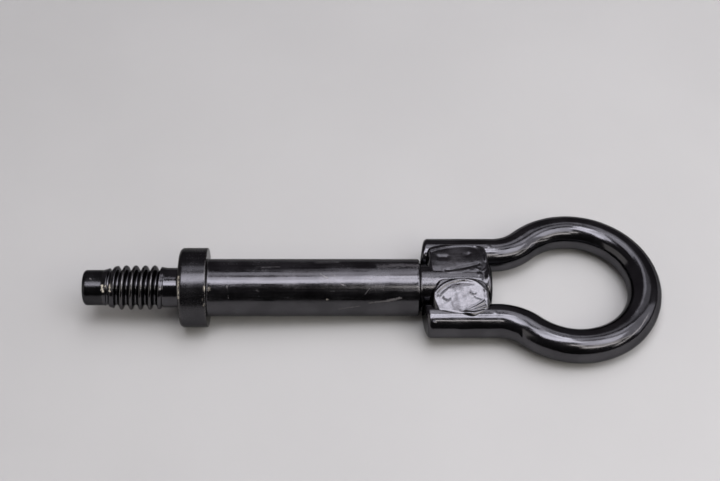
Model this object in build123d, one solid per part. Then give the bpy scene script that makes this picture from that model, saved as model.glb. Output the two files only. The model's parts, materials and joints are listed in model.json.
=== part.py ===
from build123d import *
import math
import os

# Tow eye for a car: a turned shank that screws in by a left-hand rolled thread, and a round bar
# bent to an eye, whose two legs lie along the shank's spigot and are welded to it on both sides.
# Lengths are in millimetres and angles in degrees. The pieces are drawn along +X, with the
# collar's seat face at x = 0, the thread on the negative side and the eye in the XY plane.
# They are then laid down together as the tow eye comes to rest, on the collar and the eye.

# Turned shank
shank_d = 22.0
shank_body_length = 80.5
shoulder_edge_r = 0.8
collar_d = 30.4
collar_width = 10.6
collar_seat_edge_r = 1.7
collar_back_edge_r = 0.4
seat_fillet_r = 1.2
neck_d = 15.2
neck_length = 6.4
pilot_d = 13.5
pilot_length = 7.6
pilot_edge_r = 1.4
spigot_d = 18.0
spigot_length = 27.5
spigot_edge_r = 1.6

# Left-hand rolled thread
thread_major_d = 17.1
thread_root_d = 13.0
thread_pitch = 3.6
thread_length = 22.8
thread_lead_in = 7.2
thread_run_out = 1.7
neck_cone_length = 1.2
crest_width = 1.3
crest_round = 0.35
root_width = 0.7
thread_start_angle = 269.0

# Bent bar of the eye
bar_d = 13.0
eye_opening_d = 41.6
bend_r = 19.0
leg_overrun = 1.4
leg_fit_gap = 0.2
leg_butt_gap = 0.5
leg_shear_angle = 10.0
leg_edge_r = 1.5

# Welds between the spigot and the legs, with their toes measured from the two crowns
weld_shoulder_gap = 3.6
weld_end_gap = 2.3
weld_crown_rise = 0.9
weld_shoulder_r = 2.4
weld_root_height = 1.2
left_weld_shank_toe = 0.0
left_weld_leg_toe = -1.2
left_weld_corner_r = 5.0
right_weld_shank_toe = 3.2
right_weld_leg_toe = 1.2
right_weld_corner_r = 6.4
weld_straight_min = 0.4

# Overlap that carries the ridge of the thread into the core, and its distance from the core's ends
ridge_sink = 0.4
ridge_end_gap = 0.4

# Stations along the shank
thread_end_x = -neck_length
thread_start_x = thread_end_x - thread_length
ridge_start_x = thread_start_x + ridge_end_gap
ridge_end_x = thread_end_x - neck_cone_length - ridge_end_gap
pilot_end_x = thread_start_x - pilot_length
shoulder_x = collar_width + shank_body_length
spigot_end_x = shoulder_x + spigot_length
leg_end_x = shoulder_x + leg_butt_gap
bend_x = spigot_end_x + leg_overrun

# Radii, and the eye's centre line
root_r = thread_root_d / 2
major_r = thread_major_d / 2
neck_r = neck_d / 2
pilot_r = pilot_d / 2
collar_r = collar_d / 2
shank_r = shank_d / 2
spigot_r = spigot_d / 2
shoulder_r = min(shoulder_edge_r, (shank_r - spigot_r) / 2)
bar_r = bar_d / 2
leg_y = spigot_r + leg_fit_gap + bar_r
eye_r = eye_opening_d / 2 + bar_r
bend_turn = math.acos((leg_y + bend_r) / (eye_r + bend_r))
eye_x = bend_x + (eye_r + bend_r) * math.sin(bend_turn)
eye_end_x = eye_x + eye_r


def rounded_corner(face, x, r, radius):
    """Round the corner of a turning profile that lies nearest to the station x at radius r."""
    corner = face.vertices().sort_by_distance((x, r, 0))[0]
    return fillet(corner, radius)


def turned_core():
    """Revolve the shank without its thread ridge: pilot, core, neck, collar, body and spigot."""
    outline = Polyline(
        (pilot_end_x, 0),
        (pilot_end_x, pilot_r),
        (thread_start_x, pilot_r),
        (thread_start_x, root_r),
        (thread_end_x - neck_cone_length, root_r),
        (thread_end_x, neck_r),
        (0, neck_r),
        (0, collar_r),
        (collar_width, collar_r),
        (collar_width, shank_r),
        (shoulder_x, shank_r),
        (shoulder_x, spigot_r),
        (spigot_end_x, spigot_r),
        (spigot_end_x, 0),
        close=True,
    )
    profile = make_face(outline)
    profile = rounded_corner(profile, pilot_end_x, pilot_r, pilot_edge_r)
    profile = rounded_corner(profile, 0, neck_r, seat_fillet_r)
    profile = rounded_corner(profile, 0, collar_r, collar_seat_edge_r)
    profile = rounded_corner(profile, collar_width, collar_r, collar_back_edge_r)
    profile = rounded_corner(profile, shoulder_x, shank_r, shoulder_r)
    profile = rounded_corner(profile, spigot_end_x, spigot_r, spigot_edge_r)
    return revolve(profile, Axis.X)


def thread_ridge():
    """Sweep one ridge with a rounded crest along a left-hand helix, faded out at both ends."""
    depth = major_r - root_r
    flank_height = depth - crest_round
    base_half = (thread_pitch - root_width) / 2
    flank_lean = (base_half - crest_width / 2) / flank_height
    sunk_half = min(base_half + flank_lean * ridge_sink, (thread_pitch - root_width / 4) / 2)
    flanks = Polyline(
        (root_r + flank_height, crest_width / 2),
        (root_r - ridge_sink, sunk_half),
        (root_r - ridge_sink, -sunk_half),
        (root_r + flank_height, -crest_width / 2),
    )
    crest = ThreePointArc(flanks @ 1, (major_r, 0), flanks @ 0)
    section = Plane.XZ * make_face(flanks + crest)
    helix = Helix(thread_pitch, thread_length + 2 * thread_pitch, root_r, lefthand=True)
    ridge = sweep(section, path=helix, is_frenet=True)
    ridge = Pos(thread_start_x - thread_pitch, 0, 0) * Rot(0, 90, 0) * ridge
    ridge = Rot(thread_start_angle, 0, 0) * ridge

    # The blank's cones cut the crest down, in front to the pilot's size and behind into the core.
    sunk_r = root_r - 2 * ridge_sink
    clear_r = major_r + ridge_sink
    lead_in_end_x = ridge_start_x + thread_lead_in
    cone_start_x = lead_in_end_x - thread_lead_in * (clear_r - sunk_r) / (clear_r - pilot_r)
    cones = Polyline(
        (cone_start_x, 0),
        (cone_start_x, sunk_r),
        (lead_in_end_x, clear_r),
        (ridge_end_x - thread_run_out, clear_r),
        (ridge_end_x, sunk_r),
        (ridge_end_x, 0),
        close=True,
    )
    return ridge & revolve(make_face(cones), Axis.X)


def bent_eye():
    """Sweep the round bar along leg, bend, eye, bend and leg, and shear both leg ends."""
    bend_end_x = bend_x + bend_r * math.sin(bend_turn)
    bend_end_y = leg_y + bend_r * (1 - math.cos(bend_turn))
    left_leg = Line((leg_end_x, leg_y), (bend_x, leg_y))
    left_bend = TangentArc((bend_x, leg_y), (bend_end_x, bend_end_y), tangent=(1, 0))
    ring = ThreePointArc((bend_end_x, bend_end_y), (eye_end_x, 0), (bend_end_x, -bend_end_y))
    right_bend = TangentArc((bend_x, -leg_y), (bend_end_x, -bend_end_y), tangent=(1, 0))
    right_leg = Line((leg_end_x, -leg_y), (bend_x, -leg_y))
    path = Wire([left_leg, left_bend, ring, right_bend, right_leg])
    section = Plane(left_leg @ 0, z_dir=left_leg % 0) * Circle(bar_r)
    bar = sweep(section, path=path)

    # Each end is sheared at a slant that starts beside the spigot and leaves the outside shorter.
    slant = math.radians(leg_shear_angle)
    for side in (1, -1):
        start = (leg_end_x, side * (leg_y - bar_r), 0)
        facing = (math.cos(slant), -side * math.sin(slant), 0)
        bar = split(bar, bisect_by=Plane(start, z_dir=facing), keep=Keep.TOP)
    end_faces = bar.faces().filter_by(GeomType.PLANE)
    return fillet(end_faces.edges(), leg_edge_r)


def weld(side, shank_toe, leg_toe, corner_r):
    """Fill the groove between spigot and leg on the upper side with a puddle-shaped pad.

    side is 1 for the left leg and -1 for the right one. The pad reaches from shank_toe beside
    the spigot's crown to leg_toe past the leg's crown, and is cut to fit round both bars.
    """
    toe_y = shank_toe
    toe_z = math.sqrt(spigot_r**2 - shank_toe**2)
    far_y = leg_y + leg_toe
    far_z = math.sqrt(bar_r**2 - leg_toe**2)
    start_x = shoulder_x + weld_shoulder_gap
    end_x = spigot_end_x - weld_end_gap
    width = math.hypot(far_y - toe_y, far_z - toe_z)
    normal = Vector(0, side * (toe_z - far_z) / width, (far_y - toe_y) / width)
    middle = Vector((start_x + end_x) / 2, side * (toe_y + far_y) / 2, (toe_z + far_z) / 2)
    top = Plane(middle + normal * weld_crown_rise, x_dir=(1, 0, 0), z_dir=normal)
    largest_r = (min(end_x - start_x, width) - weld_straight_min) / 2
    outline = top * RectangleRounded(end_x - start_x, width, min(corner_r, largest_r))
    pad = extrude(outline, -(far_z + weld_crown_rise))
    pad = fillet(pad.faces().sort_by(Axis(middle, normal))[-1].edges(), weld_shoulder_r)

    along = Plane((start_x, 0, 0), x_dir=(0, 1, 0), z_dir=(1, 0, 0))
    run = end_x - start_x
    spigot = extrude(along * Circle(spigot_r), run)
    leg = extrude(along * Pos(side * leg_y, 0) * Circle(bar_r), run)
    groove = pad - spigot - leg
    return split(groove, bisect_by=Plane((0, 0, weld_root_height)), keep=Keep.TOP)


def floor_angle(x, depth, radius):
    """Return the floor's slope, in degrees, from the collar's back rim to another rounded spot.

    The spot is a circle of that radius, centred at station x and at that depth below the axis.
    """
    dx = x - (collar_width - collar_back_edge_r)
    dz = (collar_r - collar_back_edge_r) - depth
    reach = math.asin((collar_back_edge_r - radius) / math.hypot(dx, dz))
    return math.degrees(math.atan2(dz, dx) + reach)


def resting_place(pieces):
    """Return the place that lays the pieces on z = 0, with the origin under their middle.

    The collar's back rim stays down while the eye sinks until the eye's end or the shank's
    shoulder touches the floor, whichever comes first.
    """
    eye_slope = floor_angle(eye_end_x, 0, bar_r)
    shoulder_slope = floor_angle(shoulder_x - shoulder_r, shank_r - shoulder_r, shoulder_r)
    tilt = Rot(0, min(eye_slope, shoulder_slope), 0)
    box = Compound([tilt * piece for piece in pieces]).bounding_box()
    return Pos(-box.center().X, -box.center().Y, -box.min.Z) * tilt


def build():
    """Return the pieces by name, laid down at rest."""
    left_weld = weld(1, left_weld_shank_toe, left_weld_leg_toe, left_weld_corner_r)
    right_weld = weld(-1, right_weld_shank_toe, right_weld_leg_toe, right_weld_corner_r)
    pieces = {
        "shank": turned_core() + thread_ridge(),
        "eye": bent_eye(),
        "weld_upper_left": left_weld,
        "weld_upper_right": right_weld,
        "weld_lower_left": mirror(left_weld, about=Plane.XY),
        "weld_lower_right": mirror(right_weld, about=Plane.XY),
    }
    place = resting_place(pieces.values())
    return {name: place * piece for name, piece in pieces.items()}


os.makedirs("parts", exist_ok=True)
for name, piece in build().items():
    export_step(piece, f"parts/{name}.step")
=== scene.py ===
"""Dress a screw-in tow eye that lies on a pale table.

The shank is turned and carries a left-hand rolled thread, the eye is a bent round bar, and four
weld puddles hold the two together. Everything is in black paint, glossy on the eye and the welds
and dusty and scratched on the shank. Sizes are in millimetres, in the frame of the part's drawing:
+X along the shank, the collar's seat face at x = 0, the eye in the XY plane.
"""

import json
import logging
import math
from dataclasses import dataclass
from enum import Enum
from typing import Sequence, Union

import bmesh
import bpy
import numpy as np
from mathutils import Matrix, Quaternion, Vector


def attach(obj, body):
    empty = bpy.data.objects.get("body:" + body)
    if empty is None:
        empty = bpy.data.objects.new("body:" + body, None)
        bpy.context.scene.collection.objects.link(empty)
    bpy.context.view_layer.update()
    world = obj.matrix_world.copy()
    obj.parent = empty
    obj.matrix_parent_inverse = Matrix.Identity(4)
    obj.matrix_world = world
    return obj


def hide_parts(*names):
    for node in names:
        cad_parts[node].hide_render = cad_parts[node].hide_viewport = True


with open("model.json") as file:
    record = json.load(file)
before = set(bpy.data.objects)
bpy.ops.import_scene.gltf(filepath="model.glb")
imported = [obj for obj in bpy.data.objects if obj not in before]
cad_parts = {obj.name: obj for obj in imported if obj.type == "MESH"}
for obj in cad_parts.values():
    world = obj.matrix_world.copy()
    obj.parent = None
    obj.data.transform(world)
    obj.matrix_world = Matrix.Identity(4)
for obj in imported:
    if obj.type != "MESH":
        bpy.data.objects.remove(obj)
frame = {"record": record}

Array = np.ndarray
Colour = tuple[float, float, float]
Point = tuple[float, float, float]
Key = Union[int, str]
Piece = bpy.types.Object
Socket = bpy.types.NodeSocket
Value = Union[Socket, float, Sequence[float]]

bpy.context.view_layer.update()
BODY = "root"
MM = 0.001
WEAR = "wear"
LOG = logging.getLogger("tow_eye")
COOL_LIGHT: Colour = (0.93, 0.93, 1.0)
WARM_LIGHT: Colour = (1.0, 0.97, 0.92)
ROW_SLANT = 24.0
LEAST_LENGTH = 1e-6
NOISE_MIDDLE = 0.5
EDGE_FALL = 2.0


class MarkKind(Enum):
    """What a mark on the paint is."""

    SCRATCH = "scratch"
    # Bare steel where the paint is chipped, and also painted highlights that stand for glints on edges.
    CHIP_AND_GLINT = "chip_and_glint"
    DUST = "dust"


@dataclass(frozen=True)
class Placement:
    """The place of the drawing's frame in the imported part.

    Attributes:
        matrix: Takes drawing points, in metres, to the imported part's frame.
    """

    matrix: Matrix

    @classmethod
    def from_mounts(cls, mounts: Sequence[dict], eye_x: float) -> "Placement":
        """Work the place out from the axes of the pilot and the eye.

        Args:
            mounts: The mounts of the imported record.
            eye_x: Station of the eye's centre in the drawing, in millimetres.

        Returns:
            The placement of the drawing's frame.
        """
        by_name = {mount["name"]: mount for mount in mounts}
        along = -Vector(by_name["pilot"]["axis"]).normalized()
        up = Vector(by_name["eye"]["axis"]).normalized()
        across = up.cross(along)
        origin = Vector(by_name["eye"]["pos_m"]) - along * (eye_x * MM)
        matrix = Matrix((along, across, up)).transposed().to_4x4()
        matrix.translation = origin
        return cls(matrix)

    def to_part(self, points: Array) -> Array:
        """Return drawing points in millimetres as points of the part in metres."""
        turn = np.array(self.matrix.to_3x3())
        return points * MM @ turn.T + np.array(self.matrix.translation)


def arc_points(centre: Sequence[float], radius: float, start: float, end: float, count: int) -> Array:
    """Return count points on a circular arc, both ends included, between two angles in degrees."""
    angles = np.radians(np.linspace(start, end, count))
    return np.column_stack([centre[0] + radius * np.cos(angles), centre[1] + radius * np.sin(angles)])


def run_points(start: Sequence[float], end: Sequence[float], step: float) -> Array:
    """Return points on a straight run without its two ends, at most a step apart."""
    count = max(2, math.ceil(math.dist(start, end) / step) + 1)
    return np.linspace(start, end, count)[1:-1]


def smooth_min(a: Array, b: Array, blend: float) -> Array:
    """Return the lesser of two heights with their crossing rounded over the blend length."""
    share = np.clip(0.5 + 0.5 * (b - a) / blend, 0.0, 1.0)
    return b + (a - b) * share - blend * share * (1.0 - share)


def smooth_max(a: Array, b: Array, blend: float) -> Array:
    """Return the greater of two heights with their crossing rounded over the blend length."""
    return -smooth_min(-a, -b, blend)


def ease(value: Array, start: float, end: float) -> Array:
    """Return a smooth step from 0 at start to 1 at end."""
    share = np.clip((value - start) / (end - start), 0.0, 1.0)
    return share * share * (3.0 - 2.0 * share)


def bell(square: Array) -> Array:
    """Return a bell curve of a squared distance in half widths, 1 in the middle and low at the edge."""
    return np.exp(-EDGE_FALL * square)


@dataclass(frozen=True)
class Unevenness:
    """Slow waves of hand-finished metal, the same in every run.

    Attributes:
        height: Greatest height of the waves.
        length: Typical wavelength.
        seed: Start of the random draws.
        waves: Number of waves that are added up.
        spread: Least and greatest share of the wavelength that a wave can have.
    """

    height: float
    length: float
    seed: int
    waves: int = 14
    spread: tuple[float, float] = (0.6, 1.8)

    def at(self, points: Array) -> Array:
        """Add the waves up.

        Args:
            points: Points in the drawing's frame.

        Returns:
            The height at each of the points.
        """
        draw = np.random.default_rng(self.seed)
        total = np.zeros(points.shape[:-1])
        for _ in range(self.waves):
            direction = draw.normal(size=3)
            direction /= np.linalg.norm(direction)
            length = self.length * draw.uniform(*self.spread)
            total += np.sin(points @ direction * (2 * math.pi / length) + draw.uniform(0, 2 * math.pi))
        return total * self.height / math.sqrt(self.waves)


def tube_faces(rings: int, around: int) -> list[tuple[int, ...]]:
    """Return the faces of a closed tube of point rings with a pole at each end.

    Args:
        rings: Number of rings.
        around: Number of points in a ring.

    Returns:
        Faces over the rings' points in order, then the first and the last pole.
    """
    column = np.arange(around)
    after = (column + 1) % around
    faces: list[tuple[int, ...]] = []
    for ring in range(rings - 1):
        low, high = ring * around, (ring + 1) * around
        quads = np.column_stack([low + column, low + after, high + after, high + column])
        faces.extend(map(tuple, quads.tolist()))
    first_pole, last_pole = rings * around, rings * around + 1
    last_ring = (rings - 1) * around
    faces.extend((first_pole, int(b), int(a)) for a, b in zip(column, after))
    faces.extend((last_pole, int(last_ring + a), int(last_ring + b)) for a, b in zip(column, after))
    return faces


def new_piece(
    name: str,
    points: Array,
    faces: list[tuple[int, ...]],
    wear: Array,
    place: Placement,
    finishes: Sequence["BlackPaint"],
) -> Piece:
    """Make a smooth closed mesh object from drawing points and paint it.

    Args:
        name: Name of the piece.
        points: Points in the drawing's frame, in millimetres.
        faces: Faces over the points.
        wear: How rubbed the paint is at each point, for the materials to read.
        place: Placement of the drawing's frame.
        finishes: The paints in the order of their slots.

    Returns:
        The object, linked to the scene, with its place in its mesh.
    """
    mesh = bpy.data.meshes.new(name)
    mesh.from_pydata(place.to_part(points).tolist(), [], faces)
    work = bmesh.new()
    work.from_mesh(mesh)
    bmesh.ops.recalc_face_normals(work, faces=work.faces)
    work.to_mesh(mesh)
    work.free()
    mesh.shade_smooth()
    layer = mesh.attributes.new(WEAR, "FLOAT", "POINT")
    layer.data.foreach_set("value", wear.astype(np.float32))
    for finish in finishes:
        mesh.materials.append(finish.material(place))
    piece = bpy.data.objects.new(name, mesh)
    bpy.context.scene.collection.objects.link(piece)
    return piece


@dataclass(frozen=True)
class Mark:
    """A small mark on the paint, drawn as a capsule between two points.

    Attributes:
        start: First end in the drawing's frame.
        end: Last end in the drawing's frame.
        width: Width of the mark.
        kind: What the mark is.
        strength: How strongly it shows, up to 1.
    """

    start: Point
    end: Point
    width: float
    kind: MarkKind
    strength: float = 1.0


def on_shank(x: float, angle: float, radius: float) -> Point:
    """Return a point on the shank at a station, at degrees from straight up, positive towards +Y."""
    turn = math.radians(angle)
    return (x, radius * math.sin(turn), radius * math.cos(turn))


def shank_marks(kind: MarkKind, radius: float, *rows: tuple[float, ...]) -> tuple[Mark, ...]:
    """Return marks on the shank, by the station and angle of both ends, the width and the strength."""
    return tuple(
        Mark(on_shank(x, angle, radius), on_shank(end_x, end_angle, radius), width, kind, strength)
        for x, angle, end_x, end_angle, width, strength in rows
    )


class Graph:
    """A material's node tree, with short calls that add and link nodes."""

    MARK_UNEVENNESS = 2.4
    SOFT_EDGE = 0.95
    FIRM_EDGE = 0.45
    VECTOR_SOCKETS = {"DOT_PRODUCT": (1, "Value"), "DISTANCE": (1, "Value"), "SCALE": ("Scale", "Vector")}

    def __init__(self, name: str, place: Placement) -> None:
        """Start a node material.

        Args:
            name: Name of the material.
            place: Placement of the drawing's frame, for coordinates in millimetres.
        """
        self.material = bpy.data.materials.new(name)
        self.material.use_nodes = True
        self.tree = self.material.node_tree
        self.tree.nodes.clear()
        output = self.add("ShaderNodeOutputMaterial")
        self.shader = self.add("ShaderNodeBsdfPrincipled")
        self.join(output.inputs["Surface"], self.shader.outputs["BSDF"])
        inputs = {"Vector": self.put("ShaderNodeTexCoord", {}, "Object"), "Scale": (MM, MM, MM)}
        inputs |= {"Location": place.matrix.translation, "Rotation": place.matrix.to_euler()}
        self.position = self.put("ShaderNodeMapping", inputs, "Vector", vector_type="TEXTURE")

    def add(self, kind: str, **settings: object) -> bpy.types.Node:
        """Add a node and set its properties.

        Args:
            kind: Type name of the node.
            settings: Properties to set on it.

        Returns:
            The new node.
        """
        node = self.tree.nodes.new(kind)
        for key, value in settings.items():
            setattr(node, key, value)
        return node

    def join(self, socket: Socket, value: Value) -> None:
        """Link a socket to another one, or set its own value.

        Args:
            socket: The socket of the node that is fed.
            value: The other socket, or the value.
        """
        if isinstance(value, Socket):
            self.tree.links.new(value, socket)
        else:
            socket.default_value = value

    def put(self, kind: str, inputs: dict[Key, Value], output: Key = 0, **settings: object) -> Socket:
        """Add a node with its inputs linked or set.

        Args:
            kind: Type name of the node.
            inputs: What goes into it, by the name or number of the socket.
            output: Name or number of the output that is wanted.
            settings: Properties to set on it.

        Returns:
            The wanted output.
        """
        node = self.add(kind, **settings)
        for key, value in inputs.items():
            self.join(node.inputs[key], value)
        return node.outputs[output]

    def math(self, operation: str, a: Value, b: Value = 0.0, clamp: bool = False) -> Socket:
        """Return a number operation, with a clamp kept between 0 and 1."""
        return self.put("ShaderNodeMath", {0: a, 1: b}, operation=operation, use_clamp=clamp)

    def vector(self, operation: str, a: Value, b: Value) -> Socket:
        """Return a vector operation; for a scale, the second value is a number."""
        second, result = self.VECTOR_SOCKETS.get(operation, (1, "Vector"))
        return self.put("ShaderNodeVectorMath", {0: a, second: b}, result, operation=operation)

    def stretched(self, scale: Point) -> Socket:
        """Return the drawing coordinates multiplied by a factor along each axis."""
        return self.vector("MULTIPLY", self.position, scale)

    def noise(self, coordinates: Value, scale: float, detail: float) -> Socket:
        """Return noise from about 0.2 to 0.8, with its waves in a unit and its finer layers."""
        inputs = {"Vector": coordinates, "Scale": scale, "Detail": detail}
        return self.put("ShaderNodeTexNoise", inputs, "Fac")

    def fade(self, value: Value, start: float, end: float, low: float = 0.0, high: float = 1.0) -> Socket:
        """Return a smooth change of a number, from low before the start to high after the end."""
        inputs = {"Value": value, "From Min": start, "From Max": end, "To Min": low, "To Max": high}
        return self.put("ShaderNodeMapRange", inputs, "Result", interpolation_type="SMOOTHSTEP")

    def blend(self, share: Value, a: Value, b: Value) -> Socket:
        """Return a mix of two colours, by the share of the second one."""
        return self.put("ShaderNodeMix", {0: share, 6: a, 7: b}, 2, data_type="RGBA")

    def bump(self, height: Value, distance: float, normal: Socket | None = None) -> Socket:
        """Return the normal of a height from 0 to 1, at most distance millimetres deep."""
        below = {} if normal is None else {"Normal": normal}
        return self.put("ShaderNodeBump", {"Distance": distance * MM, "Height": height, **below}, "Normal")

    def point_value(self, name: str) -> Socket:
        """Return the number that a piece stores at its points."""
        return self.put("ShaderNodeAttribute", {}, "Fac", attribute_name=name)

    def capsule(self, mark: Mark, roughening: Value) -> Socket:
        """Return how much a capsule-shaped mark covers.

        Args:
            mark: The mark.
            roughening: Noise about 0.5 that makes the mark's edge uneven.

        Returns:
            The cover, from 0 to the mark's strength.
        """
        start, end = Vector(mark.start), Vector(mark.end)
        run = end - start
        away = self.vector("SUBTRACT", self.position, start)
        reach = run / max(run.length_squared, LEAST_LENGTH)
        share = self.math("ADD", self.vector("DOT_PRODUCT", away, reach), clamp=True)
        nearest = self.vector("SCALE", run, share)
        gap = self.vector("DISTANCE", away, nearest)
        swing = self.math("SUBTRACT", roughening, NOISE_MIDDLE)
        uneven = self.math("MULTIPLY", swing, mark.width * self.MARK_UNEVENNESS)
        edge = mark.width / 2
        softness = self.SOFT_EDGE if mark.kind is MarkKind.DUST else self.FIRM_EDGE
        inner, outer = edge * (1 - softness), edge * (1 + softness)
        return self.fade(self.math("ADD", gap, uneven), inner, outer, mark.strength, 0.0)

    def cover(self, marks: Sequence[Mark], roughening: Value) -> Value:
        """Return how much several marks cover together.

        Args:
            marks: The marks.
            roughening: Noise about 0.5 that makes their edges uneven.

        Returns:
            The greatest cover, or 0 without any mark.
        """
        total: Value = 0.0
        for mark in marks:
            total = self.math("MAXIMUM", total, self.capsule(mark, roughening))
        return total


@dataclass(frozen=True)
class BlackPaint:
    """Black gloss paint over steel, as it looks on one region of the part.

    A black film shows no body colour, only what it throws back, so it is set up as a dark mirror
    under dust, scratches and chips; some of the chips are painted highlights that stand for glints.

    Attributes:
        name: Name of the material.
        sheen: Share of the light that the clean film throws back.
        roughness: Least and greatest roughness.
        streaks: Depth of the lengthwise streaks, up to 1.
        dust: Share of dust on faces that look up.
        peel: Height of the film's waves in millimetres.
        wear: Share of paint that is rubbed off the edges.
        marks: Single marks.
        grain: Share of the waves' height that fine grain has.
    """

    name: str
    sheen: float
    roughness: tuple[float, float]
    streaks: float
    dust: float
    peel: float
    wear: float
    marks: tuple[Mark, ...] = ()
    grain: float = 0.2

    TINT = (1.0, 0.975, 1.04)
    EDGE_SHEEN = (0.5, 0.5, 0.5, 1.0)
    DUST_COLOUR = (0.42, 0.39, 0.40, 1.0)
    SCRATCH_COLOUR = (0.21, 0.195, 0.185, 1.0)
    STEEL_AND_GLINT_COLOUR = (0.80, 0.73, 0.61, 1.0)
    FINE_NOISE = (1.6, 4.0)
    BROAD_NOISE = (0.11, 3.0)
    STREAK_NOISE = (1.0, 5.0)
    STREAK_STRETCH = (0.06, 1.3, 1.3)
    PEEL_NOISE = (0.55, 2.0)
    SPECK_NOISE = (5.5, 2.0)
    SPECK_RANGE = (0.68, 0.76)
    SPECK_GAIN = 1.6
    FILM_RANGE = (0.42, 0.74)
    FILM_BROAD = 0.6
    FILM_STREAK = 0.5
    LYING_RANGE = (0.35, 0.98)
    RUB_RANGE = (0.36, 0.62)
    MOTTLE_RANGE = (0.35, 0.65)
    DULL_SHARE = 0.8
    VEIL_GAIN = 2.2
    VEIL_ROUGHNESS = 0.3
    BARE_AND_GLINT_MATT = 0.6
    BARE_AND_GLINT_ROUGHNESS = 0.36
    STREAK_DEPTH = 0.022
    CUT_DEPTH = 0.04

    def material(self, place: Placement) -> bpy.types.Material:
        """Build the node material.

        Args:
            place: Placement of the drawing's frame.

        Returns:
            The material.
        """
        graph = Graph(self.name, place)
        fine = graph.noise(graph.position, *self.FINE_NOISE)
        broad = graph.noise(graph.position, *self.BROAD_NOISE)
        streak = graph.noise(graph.stretched(self.STREAK_STRETCH), *self.STREAK_NOISE)

        dusty = self.dust_cover(graph, fine, broad, streak)
        scratched = graph.cover(self.of_kind(MarkKind.SCRATCH), fine)
        rubbed = graph.math("MULTIPLY", graph.point_value(WEAR), graph.fade(fine, *self.RUB_RANGE))
        rubbed = graph.math("MULTIPLY", rubbed, self.wear)
        # Chips are bare steel, and some of them are painted highlights: bright marks for glints on rims and
        # crest edges.
        bare_and_glint = graph.math("MAXIMUM", rubbed, graph.cover(self.of_kind(MarkKind.CHIP_AND_GLINT), fine), clamp=True)

        clean = tuple(self.sheen * c for c in self.TINT) + (1.0,)
        dull = tuple(self.DULL_SHARE * c for c in clean[:3]) + (1.0,)
        paint = graph.blend(graph.fade(broad, *self.MOTTLE_RANGE), dull, clean)
        paint = graph.blend(dusty, paint, self.DUST_COLOUR)
        paint = graph.blend(scratched, paint, self.SCRATCH_COLOUR)
        # The steel colour is worn metal, and on some chips a painted highlight.
        graph.join(graph.shader.inputs["Base Color"], graph.blend(bare_and_glint, paint, self.STEEL_AND_GLINT_COLOUR))
        veil = graph.math("MULTIPLY", dusty, self.VEIL_GAIN)
        veil = graph.math("MAXIMUM", veil, scratched, clamp=True)
        matt = graph.math("MAXIMUM", veil, graph.math("MULTIPLY", bare_and_glint, self.BARE_AND_GLINT_MATT))
        graph.join(graph.shader.inputs["Metallic"], graph.math("SUBTRACT", 1.0, matt))
        graph.shader.inputs["Specular Tint"].default_value = self.EDGE_SHEEN

        low, high = self.roughness
        mottle = graph.math("MULTIPLY", graph.math("ADD", fine, broad), 0.5)
        rough = graph.fade(mottle, *self.MOTTLE_RANGE, low, high)
        swing = graph.math("SUBTRACT", streak, NOISE_MIDDLE)
        swing = graph.math("MULTIPLY", swing, self.streaks * (high + low))
        rough = graph.math("ADD", rough, swing)
        rough = graph.math("ADD", rough, graph.math("MULTIPLY", veil, self.VEIL_ROUGHNESS))
        rough_bare_and_glint = graph.math("MULTIPLY", bare_and_glint, self.BARE_AND_GLINT_ROUGHNESS)
        rough = graph.math("MAXIMUM", rough, rough_bare_and_glint, clamp=True)
        graph.join(graph.shader.inputs["Roughness"], rough)

        normal = graph.bump(graph.noise(graph.position, *self.PEEL_NOISE), self.peel)
        normal = graph.bump(streak, self.streaks * self.STREAK_DEPTH, normal)
        normal = graph.bump(fine, self.peel * self.grain, normal)
        cut = graph.math("SUBTRACT", 1.0, graph.math("MAXIMUM", scratched, bare_and_glint))
        graph.join(graph.shader.inputs["Normal"], graph.bump(cut, self.CUT_DEPTH, normal))
        return graph.material

    def of_kind(self, kind: MarkKind) -> list[Mark]:
        """Return the marks of one kind."""
        return [mark for mark in self.marks if mark.kind is kind]

    def dust_cover(self, graph: Graph, fine: Value, broad: Value, streak: Value) -> Value:
        """Return the share of dust: a patchy film on faces that look up, grit and single patches.

        Args:
            graph: The material's node tree.
            fine: Fine noise.
            broad: Slow noise.
            streak: Lengthwise noise.

        Returns:
            The share, from 0 to 1.
        """
        facing = graph.put("ShaderNodeNewGeometry", {}, "Normal")
        upward = graph.vector("DOT_PRODUCT", facing, (0, 0, 1))
        lying = graph.fade(upward, *self.LYING_RANGE)
        patchy = graph.math("MULTIPLY", broad, self.FILM_BROAD)
        mottle = graph.math("ADD", patchy, graph.math("MULTIPLY", streak, self.FILM_STREAK))
        film = graph.math("MULTIPLY", lying, graph.fade(mottle, *self.FILM_RANGE))
        specks = graph.fade(graph.noise(graph.position, *self.SPECK_NOISE), *self.SPECK_RANGE)
        loose = graph.math("MAXIMUM", film, graph.math("MULTIPLY", specks, self.SPECK_GAIN))
        patches = graph.cover(self.of_kind(MarkKind.DUST), fine)
        return graph.math("MAXIMUM", graph.math("MULTIPLY", loose, self.dust), patches, clamp=True)


@dataclass(frozen=True)
class Nick:
    """A small dent, or with a negative depth a small bead of spatter.

    Attributes:
        x: Station along the bar.
        angle: Degrees round the bar from straight up, positive towards +Y.
        length: Size along the bar.
        width: Size round the bar.
        depth: Depth of the dent.
    """

    x: float
    angle: float
    length: float
    width: float
    depth: float

    def at(self, x: Array, angle: Array, radius: Array) -> Array:
        """Return the depth of the dent.

        Args:
            x: Stations of the points.
            angle: Angles of the points in degrees.
            radius: Radii of the points.

        Returns:
            The depth at each point.
        """
        off = (angle - self.angle + 180.0) % 360.0 - 180.0
        along = (x - self.x) / (self.length / 2)
        around = np.radians(off) * radius / (self.width / 2)
        return self.depth * bell(along**2 + around**2)


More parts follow.
